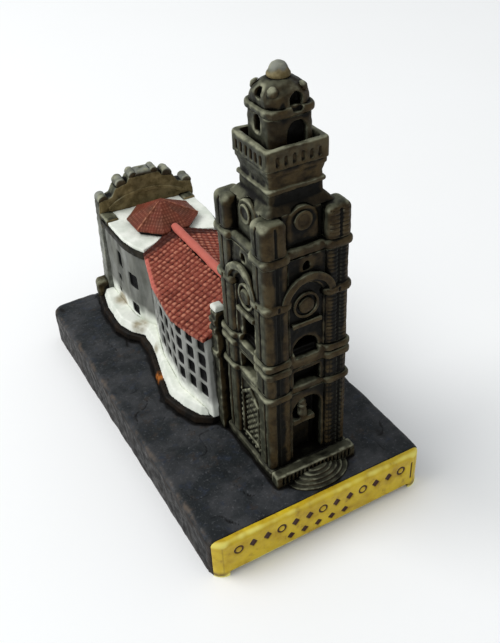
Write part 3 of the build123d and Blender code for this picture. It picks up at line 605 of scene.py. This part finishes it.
def pier_relief(flute_at, course_pitch, dotted):
    """A flute down each pier and fine coursing on the ones to the right."""
    flute_width, flute_depth, course_depth = 0.26, 0.34, 0.20

    def relief(shell):
        along, across, upright = around_tower(shell)
        flute = groove(np.abs(along) - flute_at, flute_width)
        course = 1 - barrel(shell.co[:, 2] / course_pitch)
        if dotted:
            course = 1 - barrel(shell.co[:, 2] / course_pitch) * barrel(along / course_pitch)
        to_the_right = along * np.where(shell.n[:, 1] > 0, -1, 1)
        rough = smoothstep(to_the_right, 1.0, 2.0) * across
        amount = -flute_depth * flute - course_depth * course * rough
        return 1 - np.maximum(flute, course * rough), amount * upright

    return relief


def lattice(shell):
    """Diamond blocks cut into the walls between the lowest piers, up to a band under the storey's top."""
    pitch, depth, mid_height = 1.5, 0.30, 0.6
    top_z, fade = 27.0, 2.0
    start_y, full_y = 4.4, 4.9
    along, _, upright = around_tower(shell)
    z = shell.co[:, 2]
    blocks = barrel((along + z) / pitch) * barrel((along - z) / pitch)
    front = box_mm("tower_door_storey")[0][1]
    cut = upright * smoothstep(z, top_z, top_z - fade) * smoothstep(shell.co[:, 1] - front, start_y, full_y)
    return 0.5 + (blocks - 0.5) * cut, (blocks - mid_height) * depth * cut


def rubble(shell):
    """Lumpy, uneven masonry."""
    size, depth = 0.9, 0.08
    lumps = noise(shell.co, size, 2.2)
    return 0.5 + 0.5 * lumps, depth * lumps


def slab_face(shell):
    """The slab's cracked and pitted skin."""
    crack_width, crack_depth = 0.05, 0.10
    cracks = groove(noise(shell.co, 5.2, 5.1), crack_width) * smoothstep(noise(shell.co, 6.0, 1.3), 0.0, 0.4)
    dents = 0.07 * noise(shell.co, 1.6, 4.0) + 0.08 * noise(shell.co, 3.4, 6.0)
    return 1 - cracks, dents - crack_depth * cracks


def hand_made(name, shell):
    """Slow unevenness over the whole casting, least on the flat slab and its plaque."""
    amount = 0.05 if name in ("base_slab", "front_plaque") else 0.09
    return amount * (noise(shell.co, 2.6) + 0.5 * noise(shell.co, 1.1, 7.3))


# node: (voxel in mm, rounds of smoothing)
FINEST, TILED, FINE, MEDIUM, COARSE = 0.15, 0.17, 0.18, 0.22, 0.38
USUAL_CAST = (FINE, 3)
CASTS = {
    "base_slab": (COARSE, 1),
    "front_plaque": (FINE, 1),
    "ground_curb": (MEDIUM, 3),
    "plaster_skirt": (MEDIUM, 3),
    "house_walls": (MEDIUM, 9),
    "house_roof": (TILED, 1),
    "house_ridge_cap": (FINE, 2),
    "nave_walls": (MEDIUM, 9),
    "nave_cornice": (FINE, 2),
    "nave_terrace": (FINE, 2),
    "nave_roof_drum": (FINE, 2),
    "nave_hip_roof": (FINE, 1),
    "link_caps": (FINE, 2),
    "tower_arch_hoods": (FINEST, 3),
    "tower_shield_reliefs": (FINEST, 2),
    "entrance_steps": (FINEST, 2),
    "entrance_landing": (FINEST, 2),
}
RELIEF = {
    "house_roof": house_tiles,
    "nave_hip_roof": hip_tiles,
    "base_slab": slab_face,
    "tower_door_piers": pier_relief(flute_at=7.1, course_pitch=1.2, dotted=True),
    "tower_attic_piers": pier_relief(flute_at=6.9, course_pitch=1.2, dotted=True),
    "tower_window_piers": pier_relief(flute_at=6.5, course_pitch=0.85, dotted=False),
    "tower_clock_piers": pier_relief(flute_at=6.7, course_pitch=0.85, dotted=False),
    "tower_door_storey": lattice,
}
RUBBLE = (
    "tower_window_storey",
    "link_wall",
    "facade_wall",
    "facade_scrolls",
    "facade_crown",
    "facade_returns",
    "facade_buttresses",
    "dome",
    "lantern",
    "lantern_cornice",
    "gallery_cornice",
)
RELIEF.update({name: rubble for name in RUBBLE})
SLOTS = {part["node"]: part["material_slot"] for part in frame["record"]["subparts"]}


# ---- how deep each point is in an opening or an engraving --------------------------------------
PLASTER_WALLS = ("house_walls", "nave_walls")
HOLLOWED = (
    "tower_door_storey",
    "tower_attic_storey",
    "tower_double_course",
    "tower_window_storey",
    "lantern",
    "dome",
)
WORN_ROUNDS = 4


def convex_outline(points):
    """The convex hull of points in the plane, in order round it."""
    points = points[np.lexsort((points[:, 1], points[:, 0]))]

    def half(sequence):
        chain = []
        for p in sequence:
            while len(chain) > 1:
                (ax, ay), (bx, by) = chain[-2], chain[-1]
                if (bx - ax) * (p[1] - ay) - (by - ay) * (p[0] - ax) > 0:
                    break
                chain.pop()
            chain.append(tuple(p))
        return chain[:-1]

    return np.array(half(points) + half(points[::-1]))


def plan_depth(co, name):
    """How far each point is inside the node's convex outline, seen from above."""
    corners = np.unique(np.round(node_mm(name)[0][:, :2], 3), axis=0)
    centre = corners.mean(0)
    hull = convex_outline(corners)
    depth = np.full(len(co), np.inf)
    for a, b in zip(hull, np.roll(hull, -1, axis=0)):
        along = (b - a) / np.linalg.norm(b - a)
        inward = np.array([-along[1], along[0]])
        if (centre - a) @ inward < 0:
            inward = -inward
        depth = np.minimum(depth, (co[:, :2] - a) @ inward)
    return depth


def window_depth(name, shell):
    """Depth behind a plaster wall's face, with the sharp corners of the openings worn away."""
    depth = plan_depth(shell.co, name)
    for _ in range(WORN_ROUNDS):
        depth = shell.spread(depth)
    return depth


def hollow_depth(name, shell):
    """Depth behind the outer face of a tower storey, or behind the dome's skin."""
    low, high = box_mm(name)
    away = np.abs(shell.co[:, :2] - (low + high)[:2] / 2)
    if name == "dome":
        foot_radius, flattening, skin = 5.0, 0.72, 0.3
        rise = (shell.co[:, 2] - low[2]) / (high - low)[2]
        radius = foot_radius * np.sqrt(np.clip(1 - flattening * rise * rise, 0, 1))
        return radius - np.linalg.norm(away, axis=1) - skin
    overhang = 1.0 if name == "tower_double_course" else 0.0
    return (high - low)[0] / 2 - away.max(axis=1) - overhang


def engraved(shell):
    """How far each point of the plaque's face is sunk below it: 0 on the face, 1 in the engraving."""
    low, high = box_mm("front_plaque")
    skin, cut, past_cut = 0.12, 0.26, 0.65
    foot_margin, top_margin, side_margin, fade = 1.2, 1.0, 1.6, 0.3
    behind = shell.co[:, 1] - low[1]
    sunk = smoothstep(behind, skin, cut) * smoothstep(behind, past_cut, past_cut - 0.15)
    above_foot = shell.co[:, 2] - low[2] - foot_margin
    under_top = high[2] - top_margin - shell.co[:, 2]
    from_side = high[0] - side_margin - np.abs(shell.co[:, 0])
    margin = np.minimum(np.minimum(above_foot, under_top), from_side)
    return sunk * smoothstep(margin, 0.0, fade)


def pit_mask(name, shell):
    if name in PLASTER_WALLS:
        return window_depth(name, shell)
    if name in HOLLOWED:
        return hollow_depth(name, shell)
    if name == "front_plaque":
        return engraved(shell)
    return np.zeros(len(shell.co))


# ---- where the paint changes within a piece ----------------------------------------------------
# Paint that is the same all over a piece but for some unevenness, as
# node: (level, unevenness, its size in mm, its shift)
# these shade levels are painted shade, darkening the stone pieces all over
ALL_OVER_SHADE = {
    "tower_door_leaf": (0.85, 0.0, 1.0, 0.0),
    "tower_side_gablets": (0.60, 0.0, 1.0, 0.0),
    "facade_buttresses": (0.20, 0.0, 1.0, 0.0),
    "tower_window_storey": (0.40, 0.30, 1.2, 3.3),
    "tower_attic_storey": (0.40, 0.30, 1.2, 3.3),
    "tower_door_storey": (0.40, 0.30, 1.2, 3.3),
    "entrance_steps": (0.70, 0.30, 1.4, 6.1),
    "entrance_landing": (0.55, 0.30, 1.4, 6.1),
    "tower_plinth": (0.55, 0.30, 1.4, 6.1),
    "link_wall": (0.25, 0.40, 1.8, 5.2),
    "dome": (0.25, 0.50, 1.5, 2.0),
}
ALL_OVER_WARM = {
    "facade_moulding": (0.75, 0.35, 2.4, 3.6),
    "nave_hip_roof": (0.60, 0.40, 2.5, 8.0),
    "facade_buttresses": (0.10, 0.15, 1.2, 0.0),
}
ALL_OVER_TONE = {
    "plaster_skirt": 1.0,
    "nave_terrace": 1.0,
    "house_ridge_cap": 1.0,
    "nave_cornice": 1.0,
    "link_caps": 0.7,
}
FACADE_FACES = ("facade_wall", "facade_returns")
FACADE_CREST = ("facade_crown", "facade_scrolls")
TOP_Z = CAD_BOX[1][2] * MM


def uneven(co, level, swing, size, shift):
    return level + swing * noise(co, size, shift)


def below(co, z, fade, wander, size, shift=0.0):
    """1 well under height z, fading to 0 over a wavering line."""
    return smoothstep(co[:, 2] + wander * noise(co, size, shift), z, z - fade)


def stain(co, name, shares, radius):
    """A round patch of paint, placed by shares of a node's box from its lowest corner to its highest."""
    low, high = box_mm(name)
    place = low + np.array(shares) * (high - low)
    return smoothstep(np.linalg.norm(co - place, axis=1), radius, radius * 0.4)


def facade_limewash(co):
    """The gable front is limewashed low down, up to about the nave's cornice."""
    return below(co, box_mm("nave_cornice")[0][2] + 1.8, 4.0, 1.5, 2.5, 4.4)


def tone_mask(name, shell):
    """The paint's second colour."""
    co, n = shell.co, shell.n
    if name in ALL_OVER_TONE:
        return np.full(len(co), ALL_OVER_TONE[name])
    if name in FACADE_FACES:
        return 0.9 * facade_limewash(co) * smoothstep(n[:, 1], 0.5, 0.2)
    if name in FACADE_CREST:
        # a painted highlight: pale limewash on the crest's faces up and to the left
        facing = smoothstep(n[:, 2] - 0.3 * n[:, 0], -0.1, 0.7)
        return 0.75 * facing * smoothstep(noise(co, 1.6, 4.8), -0.7, 0.2)
    if name in PLASTER_WALLS:
        return below(co, box_mm("plaster_skirt")[1][2] + 4.4, 3.6, 0.8, 1.6, 5.0)
    if name == "house_roof":
        # a salmon rim along the eaves, from halfway to just short of the church
        back_y = box_mm("house_walls")[1][1]
        rim = smoothstep(plan_depth(co, name), 1.0, 0.6)
        far_part = smoothstep(co[:, 1], back_y - 19.0, back_y - 12.0)
        return rim * far_part * smoothstep(co[:, 1], back_y - 2.0, back_y - 3.0)
    if name == "finial":
        return 0.75 * (1 - below(co, TOP_Z - 0.7, 1.1, 0.3, 0.7))
    return np.zeros(len(co))


def shade_mask(name, shell):
    """A darker coat: painted shade on the stone pieces and the roof; also the slab's brown-black sides, the
    plaque's darker foot and the nave walls' darker streaks.
    """
    co, n = shell.co, shell.n
    if name in ALL_OVER_SHADE:
        return uneven(co, *ALL_OVER_SHADE[name])
    if name in ("lantern", "tower_neck"):
        # painted shade on the faces towards the tower end
        return 0.15 + 0.40 * smoothstep(-n[:, 1], 0.2, 0.7)
    if name == "nave_walls":
        upright_streaks = np.array([1, 1, 0.25])
        return uneven(co * upright_streaks, 0.60, 0.40, 1.6, 2.7)
    if name == "house_roof":
        # painted shadow where the roof meets the church
        back_y = box_mm("house_walls")[1][1]
        return 0.9 * smoothstep(co[:, 1] + 0.5 * noise(co, 1.2), back_y - 2.4, back_y - 0.6)
    if name == "base_slab":
        # its upright sides
        return smoothstep(n[:, 2], 0.5, 0.2)
    if name == "front_plaque":
        # along its foot
        return smoothstep(co[:, 2], 1.8, 0.6)
    return np.zeros(len(co))


def warm_mask(name, shell):
    """The paint's stain."""
    co, n = shell.co, shell.n
    if name in ALL_OVER_WARM:
        return uneven(co, *ALL_OVER_WARM[name])
    if name in FACADE_FACES:
        inner_face = smoothstep(n[:, 1], -0.3, -0.7)
        return (1 - facade_limewash(co)) * inner_face * uneven(co, 0.75, 0.35, 2.4, 3.6)
    if name == "finial":
        return 0.75 * below(co, TOP_Z - 0.9, 0.7, 0.5, 0.9)
    if name == "ground_curb":
        return stain(co, name, (0.06, 0.33, 0.7), 2.2)
    if name in ("plaster_skirt", "nave_walls"):
        places = ((0.15, 0.87, 3.4), (0.12, 0.65, 3.0), (0.09, 0.48, 2.4))
        return sum(0.75 * stain(co, "plaster_skirt", (x, y, 0.9), radius) for x, y, radius in places)
    return np.zeros(len(co))


# ---- casting -----------------------------------------------------------------------------------
PAINTED_LIGHT_FROM = np.array((-0.45, 0.15, 0.75))
CREASE_ROUNDS = 3
MIDDLE_RELIEF = 0.5


def cast(name):
    """Makes the painted shell that stands for one CAD node."""
    voxel, rounds = CASTS.get(name, USUAL_CAST)
    paint = SLOTS[name]
    shell = Shell(*remeshed(name, voxel))
    pit = pit_mask(name, shell)
    shell.smooth(rounds)
    tone, shade, warm = (make(name, shell) for make in (tone_mask, shade_mask, warm_mask))
    shell.push(hand_made(name, shell))
    relief = np.full(len(shell.co), MIDDLE_RELIEF)
    if name in RELIEF:
        relief, amount = RELIEF[name](shell)
        shell.push(amount)
    # the painted light comes from up and to the left: lit places the painted highlight, front the painted
    # shade of the faces towards the tower end
    up_and_left = shell.n @ PAINTED_LIGHT_FROM
    masks = {
        "near": SOLIDITY.at("near", shell.co),
        "wide": SOLIDITY.at("wide", shell.co),
        "crease": shell.hollowness(CREASE_ROUNDS),
        "lit": smoothstep(up_and_left, 0.0, 0.75),
        "front": smoothstep(-shell.n[:, 1], 0.1, 0.7),
        "pit": pit,
        "relief": relief,
        "tone": np.clip(tone, 0, 1),
        "shade": np.clip(shade, 0, 1),
        "warm": np.clip(warm, 0, 1),
    }
    mesh = bpy.data.meshes.new(name + "_cast")
    mesh.from_pydata((shell.co / MM).tolist(), [], shell.quads.tolist())
    mesh.polygons.foreach_set("use_smooth", np.ones(len(mesh.polygons), dtype=bool))
    for key, values in masks.items():
        attribute = mesh.attributes.new(key, "FLOAT", "POINT")
        attribute.data.foreach_set("value", values.astype(np.float32))
    mesh.materials.append(PAINTS[paint])
    obj = bpy.data.objects.new(name + "_cast", mesh)
    bpy.context.scene.collection.objects.link(obj)
    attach(obj, "root")
    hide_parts(name)


for node in sorted(frame["nodes"]):
    cast(node)


# ---- floor, light and camera, in metres --------------------------------------------------------
def add_floor():
    reach = 3.0
    white, cooler_white = (250, 250, 249), (252, 252, 252)
    mesh = bpy.data.meshes.new("floor")
    corners = [(-reach, -reach, 0), (reach, -reach, 0), (reach, reach, 0), (-reach, reach, 0)]
    mesh.from_pydata(corners, [], [(0, 1, 2, 3)])
    g = Graph("floor_paint")
    mesh.materials.append(g.finish(g.mix(g.noise(40, 2), white, cooler_white), 0.8, g.noise(5, 2), 0.01))
    floor = bpy.data.objects.new("floor", mesh)
    bpy.context.scene.collection.objects.link(floor)


def add_light():
    """One large soft lamp, high behind the left side."""
    place, target = Vector((-0.60, 0.30, 0.80)), Vector((0, 0, 0.03))
    data = bpy.data.lights.new("key", "AREA")
    data.shape = "DISK"
    data.size = 0.8
    data.energy = 7.0
    light = bpy.data.objects.new("key", data)
    light.location = place
    light.rotation_euler = (target - place).to_track_quat("-Z", "Y").to_euler()
    bpy.context.scene.collection.objects.link(light)


def add_camera():
    """A hand-held close-up: from the left of the plaque, looking down, with a slight roll."""
    azimuth, elevation, roll = math.radians(-27.6), math.radians(36.68), math.radians(-3.06)
    distance = 0.2000
    target = Vector((0.00989, -0.00069, 0.02079))
    level = math.cos(elevation)
    forward = Vector((-math.sin(azimuth) * level, math.cos(azimuth) * level, -math.sin(elevation)))
    data = bpy.data.cameras.new("camera")
    data.lens = 46.8
    data.sensor_width = 36.0
    data.clip_start = 0.005
    camera = bpy.data.objects.new("camera", data)
    turn = forward.to_track_quat("-Z", "Y").to_matrix().to_4x4()
    place = Matrix.Translation(target - forward * distance)
    camera.matrix_world = place @ turn @ Matrix.Rotation(roll, 4, "Z")
    bpy.context.scene.collection.objects.link(camera)
    bpy.context.scene.camera = camera


def add_world():
    world = bpy.data.worlds.new("studio")
    world.use_nodes = True
    backdrop = world.node_tree.nodes["Background"]
    backdrop.inputs["Color"].default_value = (0.95, 0.98, 1.0, 1.0)
    backdrop.inputs["Strength"].default_value = 0.62
    bpy.context.scene.world = world


add_floor()
add_world()
add_light()
add_camera()
bpy.context.scene.view_settings.view_transform = "Standard"
